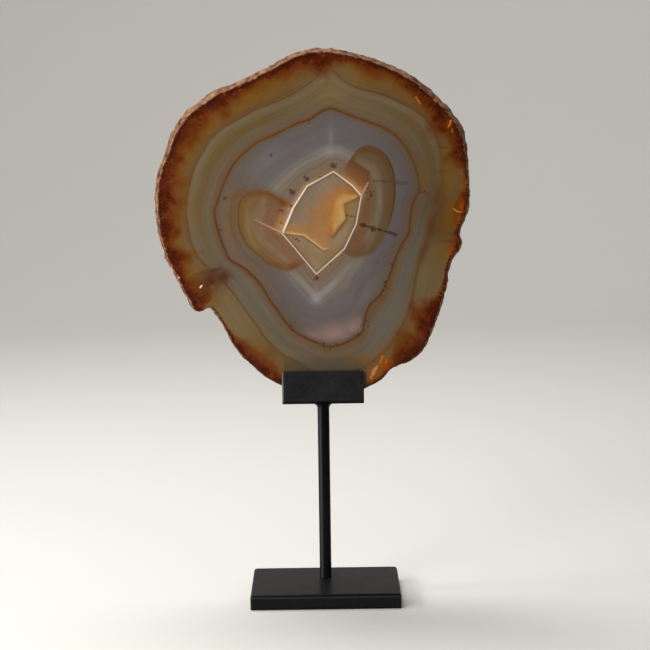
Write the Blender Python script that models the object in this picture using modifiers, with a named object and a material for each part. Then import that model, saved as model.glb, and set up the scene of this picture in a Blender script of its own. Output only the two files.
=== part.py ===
"""Agate slice on a stand.

One polished slice of agate stands on edge in a folded steel cradle, which a round post holds
above a flat base plate. Metres, +Z up, +X to the right as seen from the front. The polished
face looks along -Y. The origin is the centre of the base's underside.
"""

import math

import bmesh
import bpy
from mathutils import Vector, noise

MM = 0.001

# Driving dimensions: the gap between touching pieces, how near counts as level when edges are
# picked, and how far behind the base's centre the post, cradle and slice stand
GAP = 0.3 * MM
LEVEL = 0.1 * MM
HOLDER_Y = 8.0 * MM

BASE_WIDTH = 100.0 * MM
BASE_DEPTH = 70.0 * MM
BASE_THICKNESS = 10.0 * MM
BASE_TOP_ROUND = 2.2 * MM
BASE_FOOT_ROUND = 0.5 * MM

POST_RADIUS = 4.0 * MM
POST_SIDES = 32

CRADLE_UNDERSIDE = 130.5 * MM
CRADLE_LENGTH = 55.0 * MM
CRADLE_HEIGHT = 23.0 * MM
CRADLE_SHEET = 2.0 * MM
CRADLE_OUTER_BEND = 5.0 * MM
CRADLE_INNER_BEND = 1.2 * MM
CRADLE_CORNER = 2.4 * MM
CRADLE_EDGE_ROUND = 0.35 * MM

# The weld between post and cradle: how far it spreads on the cradle along X and Y, and its height
WELD_SPREAD_X = 3.0 * MM
WELD_SPREAD_Y = 1.4 * MM
WELD_HEIGHT = 3.4 * MM
WELD_STEPS = 6

SLICE_THICKNESS = 8.0 * MM
SLICE_REST = CRADLE_UNDERSIDE + CRADLE_SHEET + GAP
SLICE_CENTRE = (3.0, 258.0)
SLICE_POINTS = 300
# How far the rim swells between the two sawn faces, and the size and spacing of its lumps
RIM_SWELL = 0.7 * MM
RIM_LUMPS = ((0.55 * MM, 7.0 * MM), (0.3 * MM, 3.6 * MM))
# How far the back face reaches past the front face, every 45 degrees, counter-clockwise from +X
RIM_LEAN = (1.3, 3.2, 2.6, 3.6, 2.5, 1.0, 0.2, 0.8)
# Depths of the rim's rings, as shares of the thickness from the front face to the back face
RIM_DEPTHS = (0.0, 0.08, 0.3, 0.55, 0.78, 0.94, 1.0)

# The front face's outline in millimetres, X and Z, clockwise from the top
SLICE_OUTLINE = (
    (0, 365), (13, 364), (32, 359), (54, 350), (73, 336), (89, 318.5), (95.5, 302), (97.5, 280),
    (97.5, 262), (93, 249), (91.8, 244), (93.2, 239), (91.5, 234.5), (85, 223), (82.8, 209),
    (77.5, 191.5), (69.8, 171), (60.5, 160.8), (46.5, 155), (39, 147.2), (27, 140.8), (15, 135.8),
    (3, 133.6), (-9, 134.8), (-28.5, 144.5), (-41.3, 152.6), (-57, 169), (-65, 183.5),
    (-71.5, 194.5), (-75, 197.6), (-78, 196), (-81.5, 194.6), (-85, 196.5), (-90, 205.5),
    (-95.5, 217), (-100.6, 228), (-105, 241), (-107.6, 260), (-106.7, 281.5), (-100.3, 299.5),
    (-94.5, 313.5), (-84, 326.5), (-67, 337.8), (-51, 344.3), (-31, 353.8), (-16, 361.8),
)

AGATE_COLOUR = (0.235, 0.175, 0.11)
STEEL_COLOUR = (0.017, 0.017, 0.018)


def clear_scene():
    """Removes the objects that a new file starts with."""
    for thing in list(bpy.data.objects):
        bpy.data.objects.remove(thing, do_unlink=True)


def new_collection(name):
    """A collection in the scene."""
    collection = bpy.data.collections.new(name)
    bpy.context.scene.collection.children.link(collection)
    return collection


def new_material(name, colour, roughness, metallic=0.0):
    """A plain Principled material."""
    material = bpy.data.materials.new(name)
    material.use_nodes = True
    shader = material.node_tree.nodes["Principled BSDF"]
    shader.inputs["Base Color"].default_value = (*colour, 1.0)
    shader.inputs["Roughness"].default_value = roughness
    shader.inputs["Metallic"].default_value = metallic
    return material


def new_object(name, bm, collection, material=None, sharp_angle=math.radians(32)):
    """An object from a bmesh, with faces pointing out and round stretches shaded smooth."""
    bmesh.ops.recalc_face_normals(bm, faces=bm.faces)
    mesh = bpy.data.meshes.new(name)
    bm.to_mesh(mesh)
    bm.free()
    mesh.shade_smooth()
    mesh.set_sharp_from_angle(angle=sharp_angle)
    if material is not None:
        mesh.materials.append(material)
    thing = bpy.data.objects.new(name, mesh)
    collection.objects.link(thing)
    return thing


def hide_cutter(thing):
    """Marks an object as a cutter, which isn't part of the model."""
    thing.hide_render = True
    thing.display_type = "WIRE"


def loft(bm, rings):
    """Joins rings of equally many points by quads, and closes the first and the last ring."""
    rows = [[bm.verts.new(point) for point in ring] for ring in rings]
    count = len(rows[0])
    for near, far in zip(rows, rows[1:]):
        for i in range(count):
            j = (i + 1) % count
            bm.faces.new((near[i], near[j], far[j], far[i]))
    bm.faces.new(rows[0])
    bm.faces.new(rows[-1])


def make_base(collection, material):
    """The base plate: its top and upright edges are well rounded, its foot only eased."""
    bm = bmesh.new()
    bmesh.ops.create_cube(bm, size=1.0)
    bmesh.ops.scale(bm, vec=(BASE_WIDTH, BASE_DEPTH, BASE_THICKNESS), verts=bm.verts)
    bmesh.ops.translate(bm, vec=(0.0, 0.0, BASE_THICKNESS / 2), verts=bm.verts)
    weights = bm.edges.layers.float.new("bevel_weight_edge")
    for edge in bm.edges:
        at_foot = all(vert.co.z < LEVEL for vert in edge.verts)
        edge[weights] = BASE_FOOT_ROUND / BASE_TOP_ROUND if at_foot else 1.0
    base = new_object("base", bm, collection, material)
    bevel = base.modifiers.new("rounded edges", "BEVEL")
    bevel.limit_method = "WEIGHT"
    bevel.width = BASE_TOP_ROUND
    bevel.segments = 5
    return base


def cradle_section(grow, inner):
    """The cradle's U in Y and Z: its outer line, grown outwards, and its inner line if asked."""
    half = SLICE_THICKNESS / 2 + GAP + CRADLE_SHEET
    top = CRADLE_UNDERSIDE + CRADLE_HEIGHT
    points = u_line(half + grow, CRADLE_UNDERSIDE - grow, top, CRADLE_OUTER_BEND + grow)
    if inner:
        floor = CRADLE_UNDERSIDE + CRADLE_SHEET
        inside = u_line(half - CRADLE_SHEET, floor, top, CRADLE_INNER_BEND)
        points += inside[::-1]
    return points


def u_line(half, bottom, top, bend, steps=7):
    """A U's points from its front top, down round two quarter bends, to its back top."""
    points = [(HOLDER_Y - half, top)]
    for side, start in ((-1, 0), (1, 1)):
        for step in range(steps + 1):
            turn = math.pi / 2 * abs(start - step / steps)
            y = HOLDER_Y + side * (half - bend + bend * math.cos(turn))
            points.append((y, bottom + bend - bend * math.sin(turn)))
    points.append((HOLDER_Y + half, top))
    return points


def extrude_section(bm, section, length):
    """A solid with this outline in Y and Z, centred along X."""
    loft(bm, [[(x, y, z) for y, z in section] for x in (-length / 2, length / 2)])


def make_cradle(collection, material):
    """The folded steel U that the slice stands in, with rounded upper corners."""
    bm = bmesh.new()
    extrude_section(bm, cradle_section(0.0, True), CRADLE_LENGTH)
    top = CRADLE_UNDERSIDE + CRADLE_HEIGHT - LEVEL
    corners = [
        edge
        for edge in bm.edges
        if min(vert.co.z for vert in edge.verts) > top
        and abs(edge.verts[0].co.x - edge.verts[1].co.x) < LEVEL
    ]
    bmesh.ops.bevel(bm, geom=corners, offset=CRADLE_CORNER, segments=5, profile=0.5, affect="EDGES")
    cradle = new_object("cradle", bm, collection, material)
    bevel = cradle.modifiers.new("eased edges", "BEVEL")
    bevel.limit_method = "ANGLE"
    bevel.angle_limit = math.radians(50)
    bevel.width = CRADLE_EDGE_ROUND
    bevel.segments = 2
    return cradle


def make_cradle_clearance(collection):
    """A cutter: the cradle's outer form with the gap around it."""
    bm = bmesh.new()
    extrude_section(bm, cradle_section(GAP, False), CRADLE_LENGTH)
    cutter = new_object("cradle_clearance", bm, collection)
    hide_cutter(cutter)
    return cutter


def post_ring(half_x, half_y, z):
    """One level of the post, an ellipse around its axis."""
    turns = [2 * math.pi * i / POST_SIDES for i in range(POST_SIDES)]
    return [(half_x * math.cos(t), HOLDER_Y + half_y * math.sin(t), z) for t in turns]


def make_post(collection, material, cutter):
    """The round post, whose weld flares out under the cradle and follows its curved underside."""
    rings = [post_ring(POST_RADIUS, POST_RADIUS, BASE_THICKNESS + GAP)]
    for step in range(WELD_STEPS + 1):
        turn = math.pi / 2 * step / WELD_STEPS
        spread = 1.0 - math.cos(turn)
        z = CRADLE_UNDERSIDE - WELD_HEIGHT * (1.0 - math.sin(turn))
        half_x = POST_RADIUS + WELD_SPREAD_X * spread
        half_y = POST_RADIUS + WELD_SPREAD_Y * spread
        rings.append(post_ring(half_x, half_y, z))
    rings.append(post_ring(half_x, half_y, CRADLE_UNDERSIDE + CRADLE_OUTER_BEND / 2))
    bm = bmesh.new()
    loft(bm, rings)
    post = new_object("post", bm, collection, material)
    cut = post.modifiers.new("cradle seat", "BOOLEAN")
    cut.operation = "DIFFERENCE"
    cut.solver = "EXACT"
    cut.object = cutter
    return post


def smooth_outline(points, count):
    """Equally spaced points on the smooth closed line through the given ones."""
    fine = []
    steps = 24
    for i in range(len(points)):
        a, b, c, d = (Vector(points[(i + k - 1) % len(points)]) for k in range(4))
        for step in range(steps):
            t = step / steps
            fine.append(
                0.5 * (2 * b + (c - a) * t + (2 * a - 5 * b + 4 * c - d) * t**2
                       + (3 * b - a - 3 * c + d) * t**3)
            )
    reach = [0.0]
    for near, far in zip(fine, fine[1:] + fine[:1]):
        reach.append(reach[-1] + (far - near).length)
    spaced = []
    i = 0
    for k in range(count):
        wanted = reach[-1] * k / count
        while reach[i + 1] < wanted:
            i += 1
        share = (wanted - reach[i]) / (reach[i + 1] - reach[i])
        spaced.append(fine[i].lerp(fine[(i + 1) % len(fine)], share))
    return spaced


def rim_lean(angle):
    """How far the back face reaches past the front face in this direction."""
    place = (math.degrees(angle) / 45.0) % 8.0
    share = (1.0 - math.cos(math.pi * (place % 1.0))) / 2
    low = RIM_LEAN[int(place) % 8]
    high = RIM_LEAN[(int(place) + 1) % 8]
    return (low + (high - low) * share) * MM


def rim_lump(place):
    """The natural rind's height at a place, from two sizes of lump."""
    return sum(size * noise.noise(place / spacing) for size, spacing in RIM_LUMPS)


def slice_ring(outline, depth):
    """The slice's outline at a share of its depth behind the front face."""
    front = HOLDER_Y - SLICE_THICKNESS / 2
    y = front + SLICE_THICKNESS * depth
    centre = Vector(SLICE_CENTRE) * MM
    swell = RIM_SWELL * math.sin(math.pi * depth)
    ring = []
    for point in outline:
        flat = Vector(point) * MM
        out = (flat - centre).normalized()
        lean = rim_lean(math.atan2(out.y, out.x)) * depth
        place = Vector((flat.x, y, flat.y))
        flat += out * (lean + swell + rim_lump(place))
        ring.append((flat.x, y, max(flat.y, SLICE_REST)))
    return ring


def make_slice(collection, material):
    """The agate slice: two flat sawn faces, and between them the nodule's rough rind."""
    outline = smooth_outline(SLICE_OUTLINE, SLICE_POINTS)
    bm = bmesh.new()
    loft(bm, [slice_ring(outline, depth) for depth in RIM_DEPTHS])
    return new_object("agate_slice", bm, collection, material)


def main():
    clear_scene()
    parts = new_collection("agate_slice_on_stand")
    cutters = new_collection("cutters")
    agate = new_material("polished_agate", AGATE_COLOUR, 0.2)
    base_steel = new_material("black_base_steel", STEEL_COLOUR, 0.38)
    post_steel = new_material("black_post_steel", STEEL_COLOUR, 0.36)
    cradle_steel = new_material("black_cradle_steel", STEEL_COLOUR, 0.45)
    make_base(parts, base_steel)
    make_cradle(parts, cradle_steel)
    make_post(parts, post_steel, make_cradle_clearance(cutters))
    make_slice(parts, agate)


main()
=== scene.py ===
"""Looks of the agate slice on its stand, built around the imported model."""

import math
from functools import reduce

import bmesh
import bpy
import numpy as np
from mathutils import Matrix, Vector, noise


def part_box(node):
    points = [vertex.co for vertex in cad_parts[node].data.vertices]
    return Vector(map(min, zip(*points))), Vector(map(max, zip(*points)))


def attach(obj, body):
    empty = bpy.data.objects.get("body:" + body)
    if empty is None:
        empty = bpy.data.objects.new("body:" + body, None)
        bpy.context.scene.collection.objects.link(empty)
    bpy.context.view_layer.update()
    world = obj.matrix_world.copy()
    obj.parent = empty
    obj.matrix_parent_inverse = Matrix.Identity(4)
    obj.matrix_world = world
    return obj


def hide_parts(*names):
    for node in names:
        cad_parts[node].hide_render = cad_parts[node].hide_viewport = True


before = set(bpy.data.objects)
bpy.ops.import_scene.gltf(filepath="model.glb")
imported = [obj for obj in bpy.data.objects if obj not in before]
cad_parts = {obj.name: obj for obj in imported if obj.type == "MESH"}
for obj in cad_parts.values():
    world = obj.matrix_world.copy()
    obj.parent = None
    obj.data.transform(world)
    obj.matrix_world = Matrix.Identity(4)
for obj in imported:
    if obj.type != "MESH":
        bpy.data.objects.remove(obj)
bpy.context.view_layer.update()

MM = 0.001

# Camera: where it stands, how it is turned, and its lens on a 36 mm sensor
CAMERA_PLACE = (0.0019, -1.125, 0.325)
CAMERA_DOWN = math.radians(7.1)
CAMERA_ROLL = math.radians(-0.8)
CAMERA_LENS = 94.15

# The studio's floor in metres: how far it is flat, and how wide its upward sweep is
FLOOR_REACH = 1.5
FLOOR_SWEEP = 0.9
FLOOR_SIDES = 72

# Lamps: name, place, aim, size and power
LAMPS = (
    ("key", (-0.55, -0.62, 0.42), (0.0, 0.0, 0.25), 0.4, 6.2),
    ("fill", (1.25, -1.25, 1.0), (0.0, 0.0, 0.25), 0.7, 3.2),
    ("side", (-1.15, -0.1, 0.72), (0.0, 0.0, 0.25), 0.26, 6.5),
    ("top", (-0.35, 0.3, 1.25), (0.0, 0.0, 0.2), 0.7, 12.0),
    ("backdrop", (0.0, 0.7, 2.2), (0.0, 2.0, 0.5), 1.4, 30.0),
)

# The middle of the bands in millimetres, and how far back the two sawn faces are in metres. The
# tables below are in millimetres too
CENTRE = np.array((3.0, 258.0))
FRONT_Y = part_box("agate_slice")[0].y
BACK_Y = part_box("agate_slice")[1].y

# Numbers of spokes from the middle to the rim, of rings in each zone (core, inner, middle, outer)
# on the front and on the back, and of steps across the rim
SPOKES = 620
FRONT_RINGS = (34, 34, 14, 22)
BACK_RINGS = (6, 14, 7, 9)
RIM_STEPS = 12

# How each face drops at its rim: how far in it starts, its least depth, and how deep chips are
FRONT_DROP = (0.8, 0.03, 0.5)
BACK_DROP = (0.9, 0.1, 0.6)

# The rim is less rough below the first height, to fit in the clamp, and the back's outline is
# broken above the second
FOOT_TOP = 156
BROKEN_FROM = 158

# Places of the slice's materials: inside the brown line, outside it, and the rim
INNER, OUTER, RIND = range(3)

# How light the polished stone is
STONE_LIGHT = 0.88

# The core's white outline, straight from corner to corner
CORE_LINE = (
    (9, 286.7), (21.4, 277.2), (27.2, 270.3), (23.6, 251.7), (15.5, 235.2), (-3.4, 218.6),
    (-25.6, 246), (-18.2, 262.9), (-8.7, 277.3),
)

# The brown line, smooth through these points
MAIN_LINE = (
    (7, 328), (15, 325.6), (24.3, 322), (40, 316), (48, 311.4), (54.2, 305.4), (59, 297.5),
    (63, 289), (65.5, 279), (65.6, 272.5), (63.3, 269), (61, 263.4), (59.4, 254), (58.4, 245.5),
    (53.2, 236.6), (49.4, 228.3), (46.4, 220), (42.7, 210.7), (38.9, 204), (32.2, 197.4),
    (28.8, 189), (27.2, 180), (24, 176.9), (14.2, 171.8), (5, 169.8), (-2.7, 172), (-9.8, 175.3),
    (-18, 180), (-24, 186.3), (-29.2, 193.6), (-35.2, 202.6), (-40.4, 211.7), (-46.5, 219),
    (-53.5, 224.8), (-60.5, 229), (-64, 236), (-67.2, 245), (-69.3, 253), (-70.5, 261.8),
    (-69, 266), (-66, 274), (-61.7, 284), (-56, 293.6), (-48.7, 300.6), (-40.6, 306.8),
    (-28.6, 311.7), (-16.7, 317.8), (-6.3, 321.2), (-0.7, 325),
)

# The fainter line outside it
OUTER_LINE = (
    (8.9, 353), (12.8, 349.2), (21.2, 343.2), (32.4, 339.5), (43.4, 336.2), (54.4, 331),
    (64, 325.8), (70.2, 320.3), (75, 312.4), (78.8, 302.7), (80.3, 293), (80.7, 283), (82, 273.4),
    (81, 266), (76, 257), (72, 245.7), (67.2, 232), (63.3, 218), (61, 204), (57.5, 191.7),
    (51.8, 180.3), (44, 169), (32, 158.5), (16, 151), (2, 149), (-9, 154), (-17.4, 160),
    (-26, 164.7), (-32.3, 170.2), (-38.4, 176.6), (-44.4, 185.7), (-50.6, 194), (-56.5, 203),
    (-64, 213), (-74, 223), (-82, 231.2), (-86, 240), (-87.6, 248), (-89.1, 258), (-88.7, 269.4),
    (-85.6, 283), (-82, 293), (-77.2, 301), (-72.3, 308.8), (-64.2, 315.8), (-52.2, 322.7),
    (-40.2, 328.8), (-28.3, 333), (-18, 337.5), (-8.4, 343.2), (1.2, 350.5),
)

# How deep the dark rust and the amber stain reach in from the rim, as shares of the outer zone:
# direction in degrees, dark, amber
STAINS = (
    (0, 0.2, 0.6), (4, 0.3, 0.9), (8, 0.22, 0.5), (10, 0.02, 0.35), (15, 0.03, 0.3),
    (18, 0.2, 0.4), (22, 0.4, 0.7), (24, 0.5, 1.1), (28, 0.32, 1.15), (31, 0.36, 0.7),
    (34, 0.6, 0.9), (39, 0.72, 1.0), (43, 0.48, 0.9), (48, 0.4, 0.8), (53, 0.4, 0.85),
    (58, 0.26, 0.85), (64, 0.2, 0.75), (68, 0.26, 0.8), (73, 0.24, 0.75), (78, 0.16, 0.55),
    (80, 0.16, 0.4), (83, 0.36, 0.55), (86, 0.54, 0.8), (89, 0.74, 1.15), (92, 0.6, 0.95),
    (96, 0.42, 0.7), (101, 0.36, 0.7), (107, 0.22, 0.7), (114, 0.18, 0.75), (121, 0.18, 0.95),
    (126, 0.34, 0.85), (130, 0.4, 0.8), (134, 0.5, 0.9), (139, 0.36, 0.9), (145, 0.44, 0.9),
    (149, 0.5, 0.95), (154, 0.24, 0.85), (159, 0.42, 0.9), (164, 0.42, 0.9), (170, 0.54, 1.0),
    (174, 0.64, 1.05), (179, 0.42, 1.05), (185, 0.44, 0.8), (190, 0.28, 0.7), (193, 0.42, 0.85),
    (196, 0.62, 1.1), (200, 0.26, 0.55), (203, 0.18, 0.45), (207, 0.24, 0.7), (212, 0.34, 0.75),
    (215.5, 0.4, 0.7), (217, 0.03, 0.12), (228, 0.03, 0.1), (232, 0.1, 0.2), (237, 0.2, 0.45),
    (242, 0.26, 0.8), (247, 0.3, 0.95), (252, 0.34, 0.5), (256, 0.2, 0.36), (270, 0.12, 0.3),
    (282, 0.16, 0.5), (287, 0.1, 0.45), (291, 0.16, 0.6), (294, 0.34, 0.5), (298, 0.5, 0.9),
    (302, 0.52, 1.1), (306, 0.3, 0.6), (309, 0.46, 0.7), (312, 0.68, 0.85), (316, 0.48, 0.6),
    (320, 0.3, 0.4), (324, 0.14, 0.2), (332, 0.05, 0.12), (341, 0.05, 0.12), (345, 0.24, 0.3),
    (348, 0.2, 0.3), (353, 0.1, 0.3), (357, 0.16, 0.5),
)

# The two eye-like lobes beside the core
LEFT_LOBE = (
    (-18.2, 264.2), (-24.8, 268), (-32, 272.6), (-39, 275.2), (-45, 274.6), (-50.5, 272),
    (-54, 267.4), (-55.2, 260), (-55.2, 252), (-53.2, 245.2), (-49.2, 238), (-42, 231.3),
    (-34.2, 225.2), (-25.5, 221.5), (-17.5, 222.6), (-8, 230), (0, 246), (-8, 260),
)
RIGHT_LOBE = (
    (20.5, 295), (23, 298.2), (26, 301.4), (31.3, 303.2), (37.3, 301.8), (42.5, 298.4),
    (46.4, 292.4), (49, 285), (49.7, 274.5), (48.6, 263.3), (45.8, 252), (42, 242),
    (34.6, 233), (26.5, 230), (17, 231.6), (4, 242), (4, 262), (15, 280),
)
# Direction in degrees round a lobe's centre, how strong its fine outline is, and how strong the
# soft brown band inside it
LEFT_EDGE = (
    (60, 0.0, 0.2), (100, 0.0, 0.9), (112, 0.1, 1.0), (124, 0.3, 1.0), (136, 0.5, 0.9),
    (146, 0.8, 0.5), (155, 0.9, 0.2), (185, 1.0, 0.15), (200, 0.9, 0.15), (212, 0.8, 0.2),
    (224, 0.6, 0.3), (236, 0.4, 0.5), (250, 0.25, 0.55), (266, 0.15, 0.6), (280, 0.0, 0.6),
    (300, 0.0, 0.2),
)
RIGHT_EDGE = (
    (0, 0.9, 0.5), (20, 1.0, 0.55), (35, 1.0, 0.8), (48, 0.7, 1.0), (60, 0.3, 1.0), (75, 0.1, 0.9),
    (90, 0.0, 0.6), (120, 0.0, 0.2), (240, 0.0, 0.1), (285, 0.0, 0.15), (300, 0.0, 0.2),
    (315, 0.0, 0.1), (330, 0.1, 0.25), (345, 0.55, 0.4),
)

# The tall crystal in the core and the ribbon at its foot: the sharp sides of each, and the whole
# outline of both
TALL_SIDE = ((27, 270.2), (15.7, 265.1), (16.5, 255.1), (7.9, 243.9))
TALL_CRYSTAL = (
    (27, 270.2), (15.7, 265.1), (16.5, 255.1), (7.9, 243.9), (6.5, 249), (7, 259.9), (8.4, 267.4),
    (12.6, 270.8), (19.6, 272.8),
)
RIBBON_SIDE = ((-24.6, 246.3), (-11.5, 244.2), (-3.3, 238.1), (1.4, 234.4), (3.4, 234.6))
CRYSTALS = (
    (26.8, 270.2), (15.7, 265.1), (16.5, 255.1), (7.9, 243.9), (5.8, 243.4), (6.4, 239.4),
    (4.6, 235.2), (1.6, 234.2), (-3.3, 238.1), (-11.5, 244.2), (-25.6, 246.3), (-26, 262),
    (-12, 280), (8.5, 292), (24, 282),
)

# Thin cream lines that run on outwards from two corners of the core
SPURS = (((-25.1, 246.2), (-44.5, 255.8)), ((27.1, 270.3), (31.7, 279)))

# Two brown facets beside the core: the rusty one above on the right, the duller one below
RUSTY_FACET = (
    (14.2, 281.8), (16, 288.4), (19.3, 294.4), (26.4, 291.4), (33.4, 285.9), (31.6, 279.2),
    (27.2, 270.3), (21.4, 277.2),
)
DULL_FACET = ((20.5, 246.4), (29.8, 247), (28.6, 239.6), (26.6, 232.3), (15.9, 234.2), (18.7, 241))

# Direction in degrees, and how pale the outer zone is, how olive and how cool the middle zone is,
# how milky the band round the core is, and how reddish the brown line is
TINTS = (
    (0, 0.2, 0.1, 0.2, 0.1, 0.6), (9, 0.8, 0.1, 0.1, 0.1, 0.4), (16, 0.8, 0.3, 0.0, 0.1, 0.2),
    (24, 0.3, 0.5, 0.0, 0.1, 0.2), (34, 0.1, 0.9, 0.0, 0.2, 0.1), (50, 0.1, 1.0, 0.0, 0.3, 0.1),
    (62, 0.2, 0.3, 0.1, 0.5, 0.1), (76, 0.4, 0.2, 0.1, 0.7, 0.1), (88, 0.4, 0.2, 0.2, 0.7, 0.1),
    (105, 0.1, 0.3, 0.1, 0.7, 0.2), (120, 0.0, 0.8, 0.0, 0.7, 0.1), (150, 0.0, 1.0, 0.0, 0.7, 0.2),
    (165, 0.0, 0.9, 0.0, 0.4, 0.5), (185, 0.1, 0.6, 0.1, 0.3, 0.9), (198, 0.3, 0.2, 0.3, 0.3, 1.0),
    (210, 0.4, 0.1, 0.7, 0.4, 1.0), (220, 0.9, 0.0, 0.9, 0.6, 1.0), (232, 1.0, 0.0, 0.8, 0.6, 1.0),
    (242, 0.5, 0.0, 0.5, 0.45, 1.0), (249, 0.2, 0.2, 0.4, 0.1, 0.9), (268, 0.3, 0.3, 0.3, 0.0, 0.8),
    (284, 0.3, 0.4, 0.4, 0.05, 0.7), (294, 0.3, 0.1, 0.9, 0.25, 0.8),
    (306, 0.2, 0.0, 0.9, 0.2, 1.0), (318, 0.7, 0.0, 0.9, 0.2, 0.9), (330, 1.0, 0.0, 0.9, 0.1, 0.8),
    (342, 0.9, 0.1, 0.8, 0.1, 0.8), (352, 0.4, 0.1, 0.6, 0.1, 0.8),
)

# Direction in degrees, half the width in millimetres of the core's white line, and its glow
WHITE_LINE = (
    (0, 0.42, 0.05), (20, 0.42, 0.15), (28, 0.46, 0.6), (50, 0.44, 0.6), (75, 0.4, 0.3),
    (85, 0.4, 0.25), (110, 0.42, 0.5), (125, 0.46, 0.85), (150, 0.5, 1.0), (168, 0.6, 1.0),
    (180, 0.75, 1.0), (196, 0.75, 1.0), (200, 0.55, 0.9), (204, 0.38, 0.2), (230, 0.34, 0.0),
    (262, 0.36, 0.0), (275, 0.42, 0.1), (320, 0.42, 0.05),
)

# Colours of the bands from the core to the rim, each at its ring
BAND_TONES = (
    (1.0, (124, 100, 80)), (1.1, (120, 100, 82)), (1.2, (118, 102, 87)), (1.28, (116, 104, 92)),
    (1.36, (112, 103, 96)), (1.44, (104, 97, 95)), (1.6, (99, 90, 88)), (1.85, (94, 84, 80)),
    (1.95, (96, 82, 70)), (2.03, (98, 74, 52)), (2.1, (101, 79, 58)), (2.22, (102, 86, 66)),
    (2.36, (101, 87, 68)), (2.5, (99, 83, 58)), (2.72, (102, 87, 64)), (2.86, (107, 91, 68)),
    (2.95, (104, 85, 60)), (3.02, (96, 73, 47)), (3.1, (102, 75, 42)), (3.4, (106, 77, 36)),
    (4.0, (102, 72, 32)),
)

# Colours of each lobe from its middle outwards, each at a share of the way to its outline
LEFT_TONES = (
    (0.3, (122, 88, 62)), (0.46, (121, 88, 62)), (0.56, (119, 88, 63)), (0.62, (123, 95, 69)),
    (0.67, (120, 92, 65)), (0.73, (126, 103, 73)), (0.79, (118, 92, 58)), (0.85, (120, 98, 60)),
    (0.9, (118, 94, 52)), (0.945, (113, 84, 46)), (1.0, (106, 80, 48)),
)
RIGHT_TONES = (
    (0.35, (116, 86, 60)), (0.47, (113, 84, 58)), (0.55, (110, 84, 56)), (0.62, (106, 88, 62)),
    (0.7, (112, 98, 78)), (0.76, (106, 90, 68)), (0.82, (96, 78, 54)), (0.88, (98, 78, 50)),
    (0.93, (100, 76, 46)), (1.0, (92, 72, 52)),
)

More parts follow.
